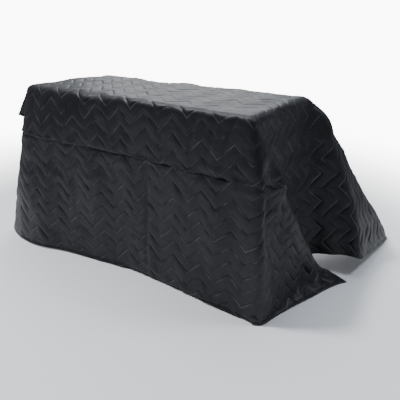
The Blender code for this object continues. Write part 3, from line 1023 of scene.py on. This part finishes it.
def new_material(name):
    """A node material, its tree and its shader."""
    material = bpy.data.materials.new(name)
    material.use_nodes = True
    return material, material.node_tree, material.node_tree.nodes["Principled BSDF"]


def uv_address(tree, layer):
    """The flat address that one UV map of a sheet holds."""
    node = tree.nodes.new("ShaderNodeUVMap")
    node.uv_map = layer
    return node.outputs["UV"]


def charcoal_nylon():
    """Dark woven shell cloth, a little dusty, with a soft sheen, painted shade along each
    stitch line and a painted highlight below it.
    """
    material, tree, shader = new_material("charcoal_nylon")
    shader.inputs["Specular IOR Level"].default_value = 0.30
    shader.inputs["Sheen Weight"].default_value = 0.02
    shader.inputs["Sheen Roughness"].default_value = 0.5
    cut = uv_address(tree, "cut")
    quilting = tree.nodes.new("ShaderNodeGroup")
    quilting.node_tree = quilting_group
    feed(tree, cut, quilting.inputs["Cut"])
    feed(tree, uv_address(tree, "rows"), quilting.inputs["Rows"])

    dust = noise(tree, cut, DUST_SCALE, detail=4.0, roughness=0.6)
    shade = blend(tree, dust, DEEP_CHARCOAL, DUSTY_CHARCOAL)
    # a painted highlight below each stitch line, and painted shade along it
    shade = blend(tree, quilting.outputs["Painted Highlight"], shade, PAINTED_HIGHLIGHT_CHARCOAL)
    shade = blend(tree, quilting.outputs["Groove Shade"], shade, PAINTED_GROOVE_SHADE)
    feed(tree, shade, shader.inputs["Base Color"])
    feed(tree, spread(tree, dust, target=GLOSS_RANGE), shader.inputs["Roughness"])

    weave = tree.nodes.new("ShaderNodeTexWave")
    weave.inputs["Scale"].default_value = WEAVE_SCALE
    feed(tree, cut, weave.inputs["Vector"])
    height = maths(tree, "MULTIPLY_ADD", weave.outputs["Fac"], WEAVE_HEIGHT,
                   quilting.outputs["Height"])
    bump = tree.nodes.new("ShaderNodeBump")
    bump.inputs["Distance"].default_value = 1.0
    bump.inputs["Strength"].default_value = 1.0
    feed(tree, height, bump.inputs["Height"])
    feed(tree, bump.outputs["Normal"], shader.inputs["Normal"])
    return material


nylon = charcoal_nylon()
for cloth in (main_cloth, front_cloth):
    cloth.data.materials.append(nylon)
print("material:", nylon.name)

# %% Dark thread
THREAD_DARK = (0.014, 0.014, 0.016, 1.0)
THREAD_PALE = (0.030, 0.030, 0.034, 1.0)
TWIST_SCALE = 900.0


def dark_thread():
    """Twisted polyester thread, a touch lighter than the shell."""
    material, tree, shader = new_material("dark_thread")
    place = tree.nodes.new("ShaderNodeTexCoord")
    twist = noise(tree, place.outputs["Object"], TWIST_SCALE)
    feed(tree, blend(tree, twist, THREAD_DARK, THREAD_PALE), shader.inputs["Base Color"])
    shader.inputs["Roughness"].default_value = 0.5
    return material


thread = dark_thread()
print("material:", thread.name)

# %% Sew the stitches
def sew(name, paths):
    """Run the stitching tree on the lines and keep the result as a mesh."""
    lines = add_object(name + "_lines", path_mesh(name + "_lines", paths))
    modifier = lines.modifiers.new("stitching", "NODES")
    modifier.node_group = stitching_tree
    values = {"Step": STITCH_STEP, "Dash Length": STITCH_LENGTH,
              "Thread Width": STITCH_WIDTH, "Thread": thread}
    for item in stitching_tree.interface.items_tree:
        if item.in_out == "INPUT" and item.name in values:
            modifier[item.identifier] = values[item.name]
    shown = lines.evaluated_get(bpy.context.evaluated_depsgraph_get())
    mesh = bpy.data.meshes.new_from_object(shown)
    mesh.name = name
    lines.modifiers.remove(modifier)
    bpy.data.objects.remove(lines, do_unlink=True)
    return add_object(name, mesh)


main_stitches = sew("main_panel_stitches", main_paths)
front_stitches = sew("front_panel_stitches", front_paths)
print_triangles(main_stitches)
print_triangles(front_stitches)

# %% [markdown]
# ## Put the pieces on the frame
# Nothing on a blanket turns or slides, so every piece rides on the one body,
# root. Each sheet stands in for its solid, which is hidden.

# %% Ride and replace
for piece in (main_cloth, front_cloth, main_stitches, front_stitches):
    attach(piece, "root")
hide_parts("main_panel")
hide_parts("front_panel")
print("sheets:", [piece.name for piece in (main_cloth, front_cloth)])

# %% [markdown]
# ## Camera, floor and light
# The camera stands where the photograph was taken from: a little above the top
# and to the right of the front, at eye height. The floor is plain and pale, and
# fades out over a few metres around the blanket, so that no edge of it shows.
# The light is a bright sky behind and above, which makes the top shine and
# leaves the front dark. One lamp high in front brings out the pillows, and a
# weak bluish one lights the end.

# %% Camera
CAMERA_PLACE = (1.73418, -2.16468, 0.42)
CAMERA_RIGHT = (0.83556825, 0.54915545, 0.01593683)
CAMERA_UP = (-0.23524916, 0.33142811, 0.91368115)
CAMERA_AHEAD = (-0.49647107, 0.76719209, -0.40611916)
LENS = 35.712

camera_data = bpy.data.cameras.new("camera")
camera_data.sensor_width = 36.0
camera_data.lens = LENS
camera = add_object("camera", camera_data)
axes = Matrix([CAMERA_RIGHT, CAMERA_UP, [-x for x in CAMERA_AHEAD]]).transposed()
camera.matrix_world = Matrix.Translation(CAMERA_PLACE) @ axes.to_4x4()
bpy.context.scene.camera = camera
print("camera at", CAMERA_PLACE)

# %% Floor
FLOOR_HALF_SIZE = 6.0
FLOOR_FADES_FROM = 2.2
FLOOR_GONE_AT = 5.0
FLOOR_BELOW_HEM = 0.0005
FLOOR_COLOUR = (0.86, 0.86, 0.86, 1.0)


def pale_floor():
    """Matt white paint that fades out over a few metres around the blanket."""
    material, tree, shader = new_material("pale_floor")
    shader.inputs["Base Color"].default_value = FLOOR_COLOUR
    shader.inputs["Roughness"].default_value = 0.9
    place = tree.nodes.new("ShaderNodeTexCoord")
    far = tree.nodes.new("ShaderNodeVectorMath")
    far.operation = "LENGTH"
    feed(tree, place.outputs["Object"], far.inputs[0])
    fade = spread(tree, far.outputs["Value"], source=(FLOOR_FADES_FROM, FLOOR_GONE_AT),
                  target=(1.0, 0.0), kind="SMOOTHSTEP")
    feed(tree, fade, shader.inputs["Alpha"])
    return material


floor_mesh = bpy.data.meshes.new("floor")
corners = [(x * FLOOR_HALF_SIZE, y * FLOOR_HALF_SIZE, -DROP - FLOOR_BELOW_HEM)
           for x, y in ((-1, -1), (1, -1), (1, 1), (-1, 1))]
floor_mesh.from_pydata(corners, [], [(0, 1, 2, 3)])
floor_mesh.materials.append(pale_floor())
floor = add_object("floor", floor_mesh)
print("floor at", round(-DROP, 3))

# %% Light
LAMPS = (
    # name, place, target, size, power, colour
    ("sky_behind", (-3.0, 4.6, 3.0), (0.0, 0.0, -0.1), 4.5, 200.0, (0.94, 0.98, 1.0)),
    ("high_front", (-1.6, -1.4, 4.8), (0.0, -0.2, -0.4), 0.6, 340.0, (0.94, 0.95, 1.0)),
    ("end_sky", (3.2, 1.4, 3.8), (0.9, 0.0, -0.1), 1.2, 110.0, (0.80, 0.88, 1.0)),
)
SKY_POWER = 1.3
SKY_SPREAD = 0.8
SKY_COLOUR = (0.93, 0.97, 1.0)
SKY_TURN = (0.44, 0.0, -2.356)


def soft_light(name, place, target, size, power, colour):
    """A square area light at place that faces target."""
    data = bpy.data.lights.new(name, "AREA")
    data.size = size
    data.energy = power
    data.color = colour
    away = Vector(place) - Vector(target)
    turned = away.to_track_quat("Z", "Y").to_matrix().to_4x4()
    add_object(name, data).matrix_world = Matrix.Translation(place) @ turned


for lamp in LAMPS:
    soft_light(*lamp)
sky_data = bpy.data.lights.new("high_sky", "SUN")
sky_data.energy = SKY_POWER
sky_data.angle = SKY_SPREAD
sky_data.color = SKY_COLOUR
add_object("high_sky", sky_data).rotation_euler = SKY_TURN

# %% [markdown]
# The photograph's background is plain white, but a world as bright as that
# would wash out the dark cloth. So the camera sees a bright white world, and
# the blanket is lit by a much weaker, bluish one.

# %% Backdrop
LIGHTING_WORLD = ((0.88, 0.91, 1.0, 1.0), 0.22)  # colour, strength
SEEN_WORLD = ((1.0, 1.0, 1.0, 1.0), 10.0)


def shine(background, colour, strength):
    """Set a world shader to a colour and a strength."""
    background.inputs["Color"].default_value = colour
    background.inputs["Strength"].default_value = strength


world = bpy.data.worlds.new("studio")
world.use_nodes = True
bpy.context.scene.world = world
world_nodes = world.node_tree.nodes
world_link = world.node_tree.links.new
weak = world_nodes["Background"]
shine(weak, *LIGHTING_WORLD)
white = world_nodes.new("ShaderNodeBackground")
shine(white, *SEEN_WORLD)
seen = world_nodes.new("ShaderNodeLightPath")
choose = world_nodes.new("ShaderNodeMixShader")
world_link(seen.outputs["Is Camera Ray"], choose.inputs["Fac"])
world_link(weak.outputs["Background"], choose.inputs[1])
world_link(white.outputs["Background"], choose.inputs[2])
world_link(choose.outputs["Shader"], world_nodes["World Output"].inputs["Surface"])
print("backdrop:", world.name)
